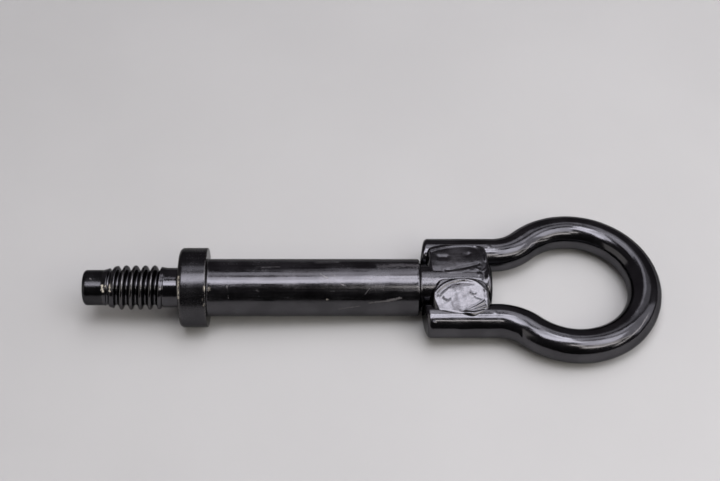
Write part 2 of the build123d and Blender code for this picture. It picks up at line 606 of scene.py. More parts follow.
@dataclass(frozen=True)
class RubbedRim:
    """A rim of the shank where the paint is rubbed thin.

    Attributes:
        x: Station of the rim.
        reach: Distance along the axis over which the wear fades.
        low_r: Radius at which the wear starts.
        full_r: Radius at which it is full.
        share: Greatest wear, up to 1.
    """

    x: float
    reach: float
    low_r: float
    full_r: float
    share: float = 1.0

    def at(self, x: Array, r: Array) -> Array:
        """Return the wear at stations and radii."""
        return self.share * np.exp(-(((x - self.x) / self.reach) ** 2)) * ease(r, self.low_r, self.full_r)


@dataclass
class Shank:
    """The turned shank: pilot, left-hand thread, neck, collar, plain body and spigot."""

    shank_d: float = 22.0
    shank_body_length: float = 80.5
    shoulder_edge_r: float = 0.8
    collar_d: float = 30.4
    collar_width: float = 10.6
    collar_seat_edge_r: float = 1.7
    collar_back_edge_r: float = 0.4
    collar_root_r: float = 0.5
    seat_fillet_r: float = 1.2
    neck_d: float = 15.2
    neck_length: float = 6.4
    pilot_d: float = 13.5
    pilot_length: float = 7.6
    pilot_edge_r: float = 1.4
    spigot_d: float = 18.0
    spigot_length: float = 27.5
    spigot_edge_r: float = 1.6
    thread_major_d: float = 17.1
    thread_root_d: float = 13.0
    thread_pitch: float = 3.6
    thread_length: float = 22.8
    thread_lead_in: float = 7.2
    neck_cone_length: float = 1.2
    crest_width: float = 1.3
    crest_round: float = 0.35
    root_width: float = 0.7
    crest_x_on_top: float = -10.38
    rolled_round: float = 0.2
    neck_crest: float = 0.25
    neck_crest_reach: float = 0.9
    thread_overlap: float = 0.06
    lead_in_steepness: float = 1.22
    ridge_blend: float = 0.35
    core_blend: float = 0.2
    crest_wear_start: float = 0.5
    crest_wear_full: float = 0.05
    collar_paint_x: float = -0.4
    body_paint_gap: float = 0.02
    nick_least_r: float = 5.0
    wave_least_r: float = 3.0
    waviness: Unevenness = Unevenness(0.012, 14.0, 5)
    facets_around: int = 144
    ridge_points: int = 241
    edge_points: int = 12
    seat_points: int = 10
    shoulder_points: int = 9
    back_points: int = 8
    root_points: int = 7
    thread_step: float = 0.12
    rim_step: float = 0.4
    neck_step: float = 0.5
    face_step: float = 0.7
    end_step: float = 0.9
    body_step: float = 1.0
    rims: tuple[RubbedRim, ...] = (
        RubbedRim(0.55, 0.6, 13.6, 14.6),
        RubbedRim(10.45, 0.3, 14.5, 15.0),
        RubbedRim(-29.2, 0.35, 0.0, 1.0, 0.8),
    )
    nicks: tuple[Nick, ...] = (
        Nick(10.3, -61.0, 1.2, 1.5, 0.22),
        Nick(10.0, -52.0, 0.9, 0.9, 0.12),
        Nick(10.4, 14.0, 1.1, 1.8, 0.18),
        Nick(9.9, 118.0, 1.4, 1.6, 0.20),
        Nick(1.2, -120.0, 1.4, 2.2, 0.16),
        Nick(-26.1, -39.0, 1.0, 2.2, 0.25),
        Nick(-19.2, 70.0, 0.9, 1.6, 0.22),
        Nick(-29.3, -38.0, 0.7, 1.7, 0.12),
        Nick(95.2, -57.0, 1.0, 0.9, -0.28),
        Nick(117.1, -8.0, 2.2, 5.4, -0.45),
        Nick(115.2, -7.0, 1.2, 4.0, 0.24),
        Nick(113.6, -3.0, 2.4, 1.4, -0.16),
    )

    @property
    def shoulder_x(self) -> float:
        """Station of the shoulder where the spigot starts."""
        return self.collar_width + self.shank_body_length

    @property
    def spigot_end_x(self) -> float:
        """Station of the spigot's end face."""
        return self.shoulder_x + self.spigot_length

    @property
    def thread_start_x(self) -> float:
        """Station where the pilot ends and the thread starts."""
        return -self.neck_length - self.thread_length

    def outline(self) -> Array:
        """Draw the turning outline from the pilot's end to the spigot's end.

        Returns:
            Stations and radii, one pair in each row.
        """
        pilot_r, neck_r, collar_r = self.pilot_d / 2, self.neck_d / 2, self.collar_d / 2
        body_r, spigot_r = self.shank_d / 2, self.spigot_d / 2
        tip_x = self.thread_start_x - self.pilot_length
        tip_edge_x = tip_x + self.pilot_edge_r
        ridge_x = self.thread_start_x - self.thread_overlap
        thread_end_x = -self.neck_length
        faded_x = thread_end_x + self.neck_crest_reach
        back_x = self.collar_width - self.collar_back_edge_r
        root_x = self.collar_width + self.collar_root_r
        edge_x = self.shoulder_x - self.shoulder_edge_r
        end_x = self.spigot_end_x - self.spigot_edge_r
        tip_r = pilot_r - self.pilot_edge_r
        seat_r = neck_r + self.seat_fillet_r
        rim_r = collar_r - self.collar_seat_edge_r
        back_r = collar_r - self.collar_back_edge_r
        root_r = body_r + self.collar_root_r
        edge_r = body_r - self.shoulder_edge_r
        end_r = spigot_r - self.spigot_edge_r
        runs = [
            run_points((tip_x, 0.0), (tip_x, tip_r), self.end_step),
            arc_points((tip_edge_x, tip_r), self.pilot_edge_r, 180, 90, self.edge_points),
            run_points((tip_edge_x, pilot_r), (self.thread_start_x, pilot_r), self.neck_step),
            run_points((ridge_x, pilot_r), (thread_end_x, pilot_r), self.thread_step),
            run_points((thread_end_x, neck_r), (faded_x, neck_r), self.thread_step),
            run_points((faded_x, neck_r), (-self.seat_fillet_r, neck_r), self.neck_step),
            arc_points((-self.seat_fillet_r, seat_r), self.seat_fillet_r, -90, 0, self.seat_points),
            run_points((0.0, seat_r), (0.0, rim_r), self.face_step),
            arc_points((self.collar_seat_edge_r, rim_r), self.collar_seat_edge_r, 180, 90, self.edge_points),
            run_points((self.collar_seat_edge_r, collar_r), (back_x, collar_r), self.rim_step),
            arc_points((back_x, back_r), self.collar_back_edge_r, 90, 0, self.back_points),
            run_points((self.collar_width, back_r), (self.collar_width, root_r), self.face_step),
            arc_points((root_x, root_r), self.collar_root_r, 180, 270, self.root_points),
            run_points((root_x, body_r), (edge_x, body_r), self.body_step),
            arc_points((edge_x, edge_r), self.shoulder_edge_r, 90, 0, self.shoulder_points),
            run_points((self.shoulder_x, edge_r), (self.shoulder_x, spigot_r), self.rim_step),
            run_points((self.shoulder_x, spigot_r), (end_x, spigot_r), self.rim_step),
            arc_points((end_x, end_r), self.spigot_edge_r, 90, 0, self.edge_points),
            run_points((self.spigot_end_x, end_r), (self.spigot_end_x, 0.0), self.end_step),
        ]
        return np.vstack(runs)

    def ridge_height(self, offset: Array) -> Array:
        """Return the rolled ridge's height above the root.

        Args:
            offset: Distance along the axis from the middle of the crest.

        Returns:
            The height at each offset.
        """
        depth = (self.thread_major_d - self.thread_root_d) / 2
        crest_half = self.crest_width / 2
        foot_half = (self.thread_pitch - self.root_width) / 2
        grid = np.linspace(-self.thread_pitch / 2, self.thread_pitch / 2, self.ridge_points)
        crest = depth - self.crest_round * (grid / crest_half) ** 2
        flank = (depth - self.crest_round) * (foot_half - np.abs(grid)) / (foot_half - crest_half)
        sharp = np.clip(np.where(np.abs(grid) < crest_half, crest, flank), 0.0, None)
        spread = np.exp(-0.5 * (grid / self.rolled_round) ** 2)
        period = self.ridge_points - 1
        three_turns = np.tile(sharp[:-1], 3)
        rounded = np.convolve(three_turns, spread / spread.sum(), mode="same")
        return np.interp(offset, grid, rounded[period:2 * period + 1])

    def thread_radius(self, x: Array, angle: Array) -> Array:
        """Return the thread's radius, faded out on the cones of the blank.

        Args:
            x: Stations.
            angle: Degrees round the axis from straight up, positive towards +Y.

        Returns:
            The radius at each point.
        """
        root_r, pilot_r, neck_r = self.thread_root_d / 2, self.pilot_d / 2, self.neck_d / 2
        crest_x = self.crest_x_on_top + self.thread_pitch * angle / 360.0
        offset = (x - crest_x + self.thread_pitch / 2) % self.thread_pitch - self.thread_pitch / 2
        ridge = root_r + self.ridge_height(offset)
        rise = (self.thread_major_d / 2 - pilot_r) / self.thread_lead_in * self.lead_in_steepness
        lead_in = pilot_r + (x - self.thread_start_x) * rise
        run_out = neck_r + self.neck_crest * (1.0 - (x + self.neck_length) / self.neck_crest_reach)
        ridge = smooth_min(ridge, lead_in, self.ridge_blend)
        ridge = smooth_min(ridge, run_out, self.ridge_blend)
        cone = neck_r + (x + self.neck_length) * (neck_r - root_r) / self.neck_cone_length
        core = np.where(x < self.thread_start_x, pilot_r, root_r)
        core = smooth_max(core, np.minimum(cone, neck_r), self.core_blend)
        return smooth_max(core, ridge, self.ridge_blend)

    def build(self, place: Placement, finishes: Sequence[BlackPaint]) -> Piece:
        """Build the shank as one turned mesh.

        Args:
            place: Placement of the drawing's frame.
            finishes: Paint of the pilot, the thread, the collar and the body, in this order.

        Returns:
            The piece.
        """
        outline = self.outline()
        angle = np.arange(self.facets_around) * 360.0 / self.facets_around
        x = np.repeat(outline[:, :1], self.facets_around, axis=1)
        r = np.repeat(outline[:, 1:], self.facets_around, axis=1)
        turn = np.repeat(angle[None, :], len(outline), axis=0)
        signed = (turn + 180.0) % 360.0 - 180.0
        threaded = x >= self.thread_start_x - self.thread_overlap
        threaded &= x < self.neck_crest_reach - self.neck_length
        r = np.where(threaded, self.thread_radius(x, signed), r)
        for nick in self.nicks:
            r = r - nick.at(x, signed, r) * (r > self.nick_least_r)
        points = np.stack([x, r * np.sin(np.radians(turn)), r * np.cos(np.radians(turn))], axis=-1)
        wave = np.abs(self.waviness.at(points))
        points[..., 1:] *= (1.0 - wave / np.maximum(r, self.wave_least_r))[..., None]
        tip, end = outline[0, 0], outline[-1, 0]
        poles = np.array([[tip, 0.0, 0.0], [end, 0.0, 0.0]])
        flat = np.vstack([points.reshape(-1, 3), poles])
        faces = tube_faces(len(outline), self.facets_around)
        wear = np.append(self.edge_wear(x, r).ravel(), [0.0, 0.0])
        piece = new_piece("shank_turned", flat, faces, wear, place, finishes)
        self.sort_faces(piece, place)
        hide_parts("shank")
        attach(piece, BODY)
        return piece

    def edge_wear(self, x: Array, r: Array) -> Array:
        """Return how exposed each point is to rubbing, on the crests and the collar's rims.

        Args:
            x: Stations of the points.
            r: Radii of the points.

        Returns:
            The exposure, from 0 to 1.
        """
        crest_r = self.thread_major_d / 2
        wear = ease(r, crest_r - self.crest_wear_start, crest_r - self.crest_wear_full)
        wear *= (x > self.thread_start_x) & (x < -self.neck_length)
        for rim in self.rims:
            wear = wear + rim.at(x, r)
        return np.clip(wear, 0.0, 1.0)

    def sort_faces(self, piece: Piece, place: Placement) -> None:
        """Give each face the paint of its region: pilot, thread, collar or body.

        Args:
            piece: The painted shank.
            place: Placement of the drawing's frame.
        """
        borders = (self.thread_start_x, self.collar_paint_x, self.collar_width - self.body_paint_gap)
        inverse = place.matrix.inverted()
        for face in piece.data.polygons:
            x = (inverse @ face.center).x / MM
            face.material_index = sum(x > border for border in borders)


@dataclass
class Eye:
    """The round bar bent to an eye, with its two sheared legs."""

    spigot_d: float
    shoulder_x: float
    bend_x: float = 120.0
    bar_d: float = 13.0
    eye_opening_d: float = 41.6
    bend_r: float = 19.0
    leg_fit_gap: float = 0.2
    leg_butt_gap: float = 0.5
    leg_shear_angle: float = 10.0
    leg_edge_r: float = 1.5
    waviness: Unevenness = Unevenness(0.035, 11.0, 8)
    facets_around: int = 112
    end_face_rings: int = 8
    end_face_shares: tuple[float, float] = (0.12, 0.95)
    end_edge_rings: int = 11
    leg_points: int = 44
    bend_points: int = 32
    bow_points: int = 240
    die_mark_at: Point = (129.3, -25.6, 0.6)
    die_mark_normal: Point = (0.919, -0.108, 0.378)
    die_mark_depth: float = 0.2
    die_mark_width: float = 1.2
    die_mark_full: float = 2.5
    die_mark_end: float = 6.0
    spatter: tuple[Nick, ...] = (
        Nick(95.6, -40.0, 1.0, 1.0, -0.35),
        Nick(99.0, 62.0, 0.9, 0.9, -0.3),
        Nick(118.6, -5.0, 1.0, 0.8, -0.25),
    )

    @property
    def bar_r(self) -> float:
        """Radius of the bar."""
        return self.bar_d / 2

    @property
    def leg_y(self) -> float:
        """Distance of a leg's axis from the shank's axis."""
        return self.spigot_d / 2 + self.leg_fit_gap + self.bar_r

    @property
    def eye_r(self) -> float:
        """Radius of the eye's centre line."""
        return self.eye_opening_d / 2 + self.bar_r

    @property
    def bend_turn(self) -> float:
        """Turn of each outward bend, in radians."""
        return math.acos((self.leg_y + self.bend_r) / (self.eye_r + self.bend_r))

    @property
    def eye_x(self) -> float:
        """Station of the eye's centre."""
        return self.bend_x + (self.eye_r + self.bend_r) * math.sin(self.bend_turn)

    def sheared_x(self, y: Array) -> Array:
        """Return the station of a leg's slanted end face at a distance from the shank's axis."""
        slant = math.tan(math.radians(self.leg_shear_angle))
        return self.shoulder_x + self.leg_butt_gap + slant * (np.abs(y) - (self.leg_y - self.bar_r))

    def leg_rings(self, side: int, round_angle: Array) -> Array:
        """Return the rings of one leg, from the middle of its sheared end to the bend.

        Args:
            side: 1 for the leg at +Y, -1 for the one at -Y.
            round_angle: Angles round the bar, from outwards to up.

        Returns:
            Points by ring and angle.
        """
        flat_r = self.bar_r - self.leg_edge_r
        radii = [flat_r * share for share in np.linspace(*self.end_face_shares, self.end_face_rings)]
        depths = [0.0] * len(radii)
        for corner in np.radians(np.linspace(0, 90, self.end_edge_rings)):
            radii.append(flat_r + self.leg_edge_r * math.sin(corner))
            depths.append(self.leg_edge_r * (1.0 - math.cos(corner)))
        rings = []
        for radius, depth in zip(radii, depths):
            y = self.leg_y + radius * np.cos(round_angle)
            x = self.sheared_x(y) + depth
            rings.append(np.column_stack([x, side * y, radius * np.sin(round_angle)]))
        y = self.leg_y + self.bar_r * np.cos(round_angle)
        z = self.bar_r * np.sin(round_angle)
        start = self.sheared_x(y) + self.leg_edge_r
        for share in np.linspace(0, 1, self.leg_points)[1:]:
            x = start + (self.bend_x - start) * share
            rings.append(np.column_stack([x, side * y, z]))
        return np.array(rings)

    def bow_rings(self, round_angle: Array) -> Array:
        """Return the rings of the bow, from the end of one leg round the eye to the other.

        Args:
            round_angle: Angles round the bar, from outwards to up.

        Returns:
            Points by ring and angle.
        """
        turn = math.degrees(self.bend_turn)
        bend_centre = (self.bend_x, self.leg_y + self.bend_r)
        left = arc_points(bend_centre, self.bend_r, -90, -90 + turn, self.bend_points)[1:]
        left_out = (np.array(bend_centre) - left) / self.bend_r
        eye_centre = (self.eye_x, 0.0)
        ring = arc_points(eye_centre, self.eye_r, 90 + turn, -90 - turn, self.bow_points)[1:-1]
        ring_out = (ring - np.array(eye_centre)) / self.eye_r
        mirror = np.array([1.0, -1.0])
        middle = np.vstack([left, ring, left[::-1] * mirror])
        outwards = np.vstack([left_out, ring_out, left_out[::-1] * mirror])
        across = self.bar_r * np.cos(round_angle)
        flat = middle[:, None, :] + across[None, :, None] * outwards[:, None, :]
        height = np.broadcast_to(self.bar_r * np.sin(round_angle), flat.shape[:2])
        return np.concatenate([flat, height[..., None]], axis=-1)

    def build(self, place: Placement, finishes: Sequence[BlackPaint]) -> Piece:
        """Build the bent bar as one closed mesh.

        Args:
            place: Placement of the drawing's frame.
            finishes: Its paint.

        Returns:
            The piece.
        """
        round_angle = np.arange(self.facets_around) * 2 * math.pi / self.facets_around
        left, right = self.leg_rings(1, round_angle), self.leg_rings(-1, round_angle)
        points = np.concatenate([left, self.bow_rings(round_angle), right[::-1]])
        middle = points.mean(axis=1, keepdims=True)
        radial = points - middle
        sunk = np.abs(self.waviness.at(points)) + self.die_mark(points)
        x, y, z = np.moveaxis(points, -1, 0)
        turn = np.degrees(np.arctan2(y - np.where(y > 0, 1.0, -1.0) * self.leg_y, z))
        for bead in self.spatter:
            sunk += bead.at(x, turn, self.bar_r) * (x < self.bend_x)
        points = middle + radial * (1.0 - sunk / self.bar_r)[..., None]
        poles = np.array([points[0].mean(axis=0), points[-1].mean(axis=0)])
        flat = np.vstack([points.reshape(-1, 3), poles])
        faces = tube_faces(len(points), self.facets_around)
        piece = new_piece("eye_bar", flat, faces, np.zeros(len(flat)), place, finishes)
        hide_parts("eye")
        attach(piece, BODY)
        return piece

    def die_mark(self, points: Array) -> Array:
        """Return the depth of the crease that the bending die left on the outside of the near bend.

        Args:
            points: Points of the bar.

        Returns:
            The depth at each point.
        """
        gap = (points - np.array(self.die_mark_at)) @ np.array(self.die_mark_normal)
        near = np.linalg.norm(points - np.array(self.die_mark_at), axis=-1)
        groove = np.exp(-((gap / (self.die_mark_width / 2)) ** 2))
        return self.die_mark_depth * groove * ease(near, self.die_mark_end, self.die_mark_full)


@dataclass(frozen=True)
class Bead:
    """A ridge or, with a negative height, a groove on a weld.

    Attributes:
        start: First end, as station and distance from the shank's axis.
        end: Last end, likewise.
        width: Width of the ridge.
        height: Height of the ridge.
        sag: Sideways bow of the ridge at its middle.
    """

    start: tuple[float, float]
    end: tuple[float, float]
    width: float
    height: float
    sag: float = 0.0

    def at(self, x: Array, v: Array) -> Array:
        """Return the ridge's height.

        Args:
            x: Stations of the points.
            v: Distances of the points from the shank's axis.

        Returns:
            The height at each point.
        """
        run = np.subtract(self.end, self.start)
        length = max(float(np.hypot(*run)), LEAST_LENGTH)
        along = ((x - self.start[0]) * run[0] + (v - self.start[1]) * run[1]) / length
        aside = ((v - self.start[1]) * run[0] - (x - self.start[0]) * run[1]) / length
        share = np.clip(along / length, 0.0, 1.0)
        aside = aside - self.sag * 4.0 * share * (1.0 - share)
        beyond = along - share * length
        return self.height * bell((aside**2 + beyond**2) / (self.width / 2) ** 2)


@dataclass
class Weld:
    """A weld puddle that fills the groove between the spigot and one leg."""

    node: str
    side: int
    level: int
    spigot_r: float
    bar_r: float
    leg_y: float
    start_x: float
    end_x: float
    shank_toe: float
    leg_toe: float
    shank_rise: float
    leg_rise: float
    crown: float
    crown_at: float
    squareness: float
    seed: int
    features: tuple[Bead, ...]
    toe_width: float = 1.5
    toe_sink: float = 0.2
    lap: float = 0.0
    lap_at: float = 5.2
    lap_width: float = 7.2
    root_height: float = 1.2
    wobble_height: float = 0.016
    wobble_phase: float = 6.3
    wobble_orders: tuple[int, int] = (2, 9)
    fine_waves: tuple[float, float] = (0.018, 3.6)
    slow_waves: tuple[float, float] = (0.055, 9.0)
    rings: int = 64
    ring_crowding: float = 1.7
    under_step: int = 8
    spokes: int = 200

    def bars_height(self, v: Array) -> Array:
        """Return the height of the two bars' surface.

        Args:
            v: Distances from the shank's axis.

        Returns:
            The height at each distance.
        """
        spigot = np.sqrt(np.clip(self.spigot_r**2 - v**2, 0.0, None))
        leg = np.sqrt(np.clip(self.bar_r**2 - (v - self.leg_y) ** 2, 0.0, None))
        return np.maximum(np.maximum(spigot, leg), self.root_height)

    def border(self, turn: Array) -> tuple[Array, Array]:
        """Return the puddle's border about its middle, as a rounded oblong with an uneven hand.

        Args:
            turn: Angles round the puddle's middle.

        Returns:
            Distances of the border along the shank and across it.
        """
        half_x = (self.end_x - self.start_x) / 2
        half_v = (self.leg_y + self.leg_toe - self.shank_toe) / 2
        power = 2.0 / self.squareness
        along = np.sign(np.cos(turn)) * np.abs(np.cos(turn)) ** power
        across = np.sign(np.sin(turn)) * np.abs(np.sin(turn)) ** power
        draw = np.random.default_rng(self.seed)
        wobble = np.zeros_like(turn)
        for order in range(*self.wobble_orders):
            height = draw.uniform(-self.wobble_height, self.wobble_height)
            wobble += height * np.sin(order * turn + draw.uniform(0, self.wobble_phase))
        along, across = along * half_x * (1.0 + wobble), across * half_v * (1.0 + wobble)
        tongue = np.exp(-(((along - self.lap_at) / (self.lap_width / 2)) ** 2))
        return along, across + self.lap * tongue * np.clip(across / half_v, 0.0, None)

    def crest(self, x: Array, v: Array) -> Array:
        """Return the height of the puddle's free surface before its toes are rounded down.

        Args:
            x: Stations of the points.
            v: Distances of the points from the shank's axis.

        Returns:
            The height at each point.
        """
        far_v = self.leg_y + self.leg_toe
        share = np.clip((v - self.shank_toe) / (far_v - self.shank_toe), 0.0, 1.0)
        low = math.sqrt(self.spigot_r**2 - self.shank_toe**2) + self.shank_rise
        high = math.sqrt(self.bar_r**2 - self.leg_toe**2) + self.leg_rise
        before, after = self.crown_at, 1.0 - self.crown_at
        bow = (share / before) ** (before * 2) * ((1.0 - share) / after) ** (after * 2)
        height = low + (high - low) * share + self.crown * bow
        for feature in self.features:
            height = height + feature.at(x, v)
        spots = np.stack([x, v, np.zeros_like(x)], axis=-1)
        fine = Unevenness(*self.fine_waves, self.seed)
        slow = Unevenness(*self.slow_waves, self.seed + 1)
        return height + fine.at(spots) + slow.at(spots)

    def build(self, place: Placement, finishes: Sequence[BlackPaint]) -> Piece:
        """Build the puddle as a closed mesh that sinks a little into both bars.

        Args:
            place: Placement of the drawing's frame.
            finishes: Its paint.

        Returns:
            The piece.
        """
        turn = np.arange(self.spokes) * 2 * math.pi / self.spokes
        along, across = self.border(turn)
        middle_x = (self.start_x + self.end_x) / 2
        middle_v = (self.shank_toe + self.leg_y + self.leg_toe) / 2
        out = 1.0 - (1.0 - np.linspace(0, 1, self.rings + 1)[1:]) ** self.ring_crowding
        x = middle_x + out[:, None] * along
        v = middle_v + out[:, None] * across
        room = np.hypot(along, across)
        inset = (1.0 - out)[:, None] * room
        share = 1.0 - (1.0 - np.clip(inset / self.toe_width, 0.0, 1.0)) ** 2
        floor = self.bars_height(v)
        top = floor - self.toe_sink + (self.crest(x, v) - floor + self.toe_sink) * share
        under_rings = slice(self.rings - 2, None, -self.under_step)
        under = np.minimum(top, np.maximum(floor - 2 * self.toe_sink, self.root_height))[under_rings]
        rows_x, rows_v = np.vstack([x, x[under_rings]]), np.vstack([v, v[under_rings]])
        points = np.stack([rows_x, self.side * rows_v, self.level * np.vstack([top, under])], axis=-1)
        peak = self.crest(np.array([middle_x]), np.array([middle_v]))[0]
        ends = np.array([[middle_x, self.side * middle_v, self.level * h] for h in (peak, self.root_height)])
        flat = np.vstack([points.reshape(-1, 3), ends])
        faces = tube_faces(len(points), self.spokes)
        piece = new_piece(self.node + "_bead", flat, faces, np.zeros(len(flat)), place, finishes)
        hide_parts(self.node)
        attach(piece, BODY)
        return piece


def make_welds(shank: Shank, eye: Eye) -> list[Weld]:
    """Return the four welds, each with its own ripples and craters.

    Args:
        shank: The shank that they hold.
        eye: The bent bar that they hold.

    Returns:
        The welds in the order in which they are built.
    """
    far_features = (
        Bead((98.8, 8.1), (101.7, 8.2), 3.2, -0.26),
        Bead((109.6, 9.3), (110.3, 9.7), 2.4, -0.18),
        Bead((95.6, 11.9), (112.8, 14.3), 1.8, 0.24, 1.2),
        Bead((112.8, 14.3), (116.7, 6.8), 1.8, 0.22, 1.1),
        Bead((101.2, 1.5), (113.4, 4.7), 1.9, -0.22, -0.2),
        Bead((106.0, 0.6), (113.6, 1.8), 2.2, 0.07),
        Bead((108.2, 1.6), (109.6, 2.2), 1.5, 0.08),
        Bead((112.2, 2.6), (113.6, 1.8), 1.4, 0.10),
        Bead((115.0, 0.8), (116.6, 2.6), 1.5, 0.14),
    )
    near_features = (
        Bead((100.2, 10.6), (101.2, 11.0), 2.6, -0.18),
        Bead((110.7, 8.7), (111.1, 8.9), 1.8, -0.15),
        Bead((96.5, 9.0), (107.5, 3.6), 1.7, 0.32, -1.5),
        Bead((107.5, 3.6), (115.3, 8.2), 1.7, 0.24, -1.2),
        Bead((97.9, 9.4), (105.0, 5.0), 2.0, -0.20, -0.8),
        Bead((105.0, 5.0), (110.6, 5.2), 2.2, -0.10, -0.2),
        Bead((111.6, 10.3), (114.2, 11.2), 1.5, -0.08),
        Bead((115.4, 7.0), (115.6, 10.8), 1.6, 0.12),
        Bead((106.0, 15.8), (114.4, 11.6), 1.2, -0.16, 0.5),
        Bead((106.2, 16.0), (114.7, 12.4), 1.2, 0.14, 0.4),
        Bead((106.4, 16.0), (114.9, 13.2), 1.1, -0.22, 0.4),
        Bead((106.6, 16.2), (114.9, 14.0), 1.1, 0.18, 0.3),
        Bead((106.8, 16.3), (114.8, 14.8), 1.1, -0.26, 0.2),
        Bead((107.6, 16.5), (114.2, 16.1), 2.4, 0.44, 0.5),
    )
    left = {"side": 1, "shank_toe": -0.6, "leg_toe": 0.2, "shank_rise": -0.02, "leg_rise": 1.0}
    left |= {"crown": 0.36, "crown_at": 0.5, "squareness": 3.8}
    left |= {"start_x": shank.shoulder_x + 2.9, "end_x": shank.spigot_end_x - 0.4}
    right = {"side": -1, "shank_toe": 1.9, "leg_toe": 1.4, "shank_rise": 0.25, "leg_rise": 0.25}
    right |= {"crown": 1.1, "crown_at": 0.14, "squareness": 2.8, "lap": 1.6}
    right |= {"start_x": shank.shoulder_x + 4.0, "end_x": shank.spigot_end_x - 1.2}
    sizes = {"spigot_r": shank.spigot_d / 2, "bar_r": eye.bar_r, "leg_y": eye.leg_y}
    return [
        Weld("weld_upper_left", level=1, seed=21, features=far_features, **left, **sizes),
        Weld("weld_upper_right", level=1, seed=34, features=near_features, **right, **sizes),
        Weld("weld_lower_left", level=-1, seed=47, features=near_features, **left, **sizes),
        Weld("weld_lower_right", level=-1, seed=58, features=far_features, **right, **sizes),
    ]


def make_finishes(shank: Shank) -> dict[str, BlackPaint]:
    """Return the paint of each region, with the marks that it has collected.

    Args:
        shank: The shank, for the places of its marks.

    Returns:
        The finishes by region.
    """
    body_r, collar_r, pilot_r = shank.shank_d / 2, shank.collar_d / 2, shank.pilot_d / 2
    back_r = collar_r - 0.1
    seat_r = collar_r - 0.55
    scratch, chip_and_glint, dust = MarkKind.SCRATCH, MarkKind.CHIP_AND_GLINT, MarkKind.DUST
    body_marks = (
        *shank_marks(
            scratch, body_r,
            (31.3, 7.0, 37.8, 8.5, 0.42, 0.32),
            (29.4, 9.6, 33.6, 9.0, 0.35, 0.16),
            (18.4, -33.0, 18.9, -58.0, 0.28, 0.4),
            (71.9, -68.8, 78.0, -64.3, 0.45, 0.42),
            (78.0, -64.3, 83.6, -57.8, 0.75, 0.55),
            (60.2, -84.4, 68.2, -76.1, 0.34, 0.28),
            (71.8, -38.5, 70.2, -50.0, 0.36, 0.32),
            (29.4, -42.0, 30.2, -44.5, 0.5, 0.25),
            (53.4, -9.0, 56.0, -18.0, 0.35, 0.3),
            (57.4, -8.0, 59.0, -14.0, 0.3, 0.22),
            (61.4, -30.5, 62.6, -33.0, 0.4, 0.3),
        ),
        *shank_marks(
            chip_and_glint, body_r,
            (55.9, -60.5, 56.1, -61.5, 0.6, 0.5),
            # The chip by the collar's root is a painted highlight: a bright spot that stands for a glint on
            # the edge.
            (11.7, -38.0, 11.6, -41.0, 0.8, 0.4),
        ),
        *shank_marks(
            dust, body_r,
            (75.4, 10.0, 83.0, 11.0, 1.8, 0.15),
            (80.5, 13.5, 90.3, 12.5, 2.0, 0.18),
            (52.0, 24.0, 60.0, 26.0, 1.6, 0.10),
            (40.0, -4.0, 52.0, -5.0, 2.0, 0.05),
        ),
    )
    thread_marks = (
        # The chips at the thread's start are worn paint and also painted highlights for glints on the crest
        # edges.
        *shank_marks(chip_and_glint, 7.0, (-28.9, -30.0, -28.8, -47.0, 0.8, 0.9)),
        *shank_marks(chip_and_glint, 7.2, (-27.3, -32.0, -27.1, -39.0, 0.7, 0.55)),
        *shank_marks(chip_and_glint, 7.5, (-26.1, -29.0, -25.9, -48.0, 0.9, 1.0)),
        *shank_marks(scratch, pilot_r, (-33.5, -6.0, -33.1, -8.0, 0.5, 0.5)),
    )
    collar_marks = (
        *shank_marks(
            chip_and_glint, collar_r,
            (10.3, -61.0, 10.0, -63.0, 0.6, 0.4),
            (9.7, -53.0, 9.5, -55.0, 0.5, 0.25),
        ),
        # The chip on the collar's back rim is a painted highlight: a bright spot that stands for a glint on
        # the rim.
        *shank_marks(chip_and_glint, back_r, (10.3, -37.0, 10.25, -40.0, 0.9, 0.4)),
        # The chips round the seat-side rim are worn paint and also a painted highlight along the rim's
        # rounding.
        *shank_marks(
            chip_and_glint, seat_r,
            (0.45, -21.0, 0.45, -35.0, 1.0, 0.7),
            (0.45, -35.0, 0.45, -52.0, 0.9, 0.55),
        ),
    )
    eye_marks = (
        Mark((131.2, 16.0, 6.2), (132.7, 14.4, 4.9), 0.45, scratch, 0.6),
        Mark((133.4, 16.6, 5.8), (134.4, 15.4, 4.6), 0.35, scratch, 0.5),
    )
    return {
        "pilot": BlackPaint(
            "pilot_paint", sheen=0.048, roughness=(0.16, 0.26), streaks=0.2, dust=0.02, peel=0.014,
            wear=0.04, marks=thread_marks,
        ),
        "thread": BlackPaint(
            "thread_paint", sheen=0.090, roughness=(0.12, 0.19), streaks=0.2, dust=0.015, peel=0.012,
            wear=0.04, marks=thread_marks,
        ),
        "collar": BlackPaint(
            "collar_paint", sheen=0.071, roughness=(0.20, 0.29), streaks=0.3, dust=0.02, peel=0.014,
            wear=0.06, marks=collar_marks,
        ),
        "body": BlackPaint(
            "body_paint", sheen=0.083, roughness=(0.13, 0.24), streaks=0.8, dust=0.03, peel=0.014,
            wear=0.04, marks=body_marks, grain=0.8,
        ),
        "eye": BlackPaint(
            "eye_paint", sheen=0.088, roughness=(0.11, 0.18), streaks=0.15, dust=0.01, peel=0.016,
            wear=0.0, marks=eye_marks,
        ),
        "weld": BlackPaint(
            "weld_paint", sheen=0.107, roughness=(0.15, 0.24), streaks=0.0, dust=0.05, peel=0.016,
            wear=0.0,
        ),
    }


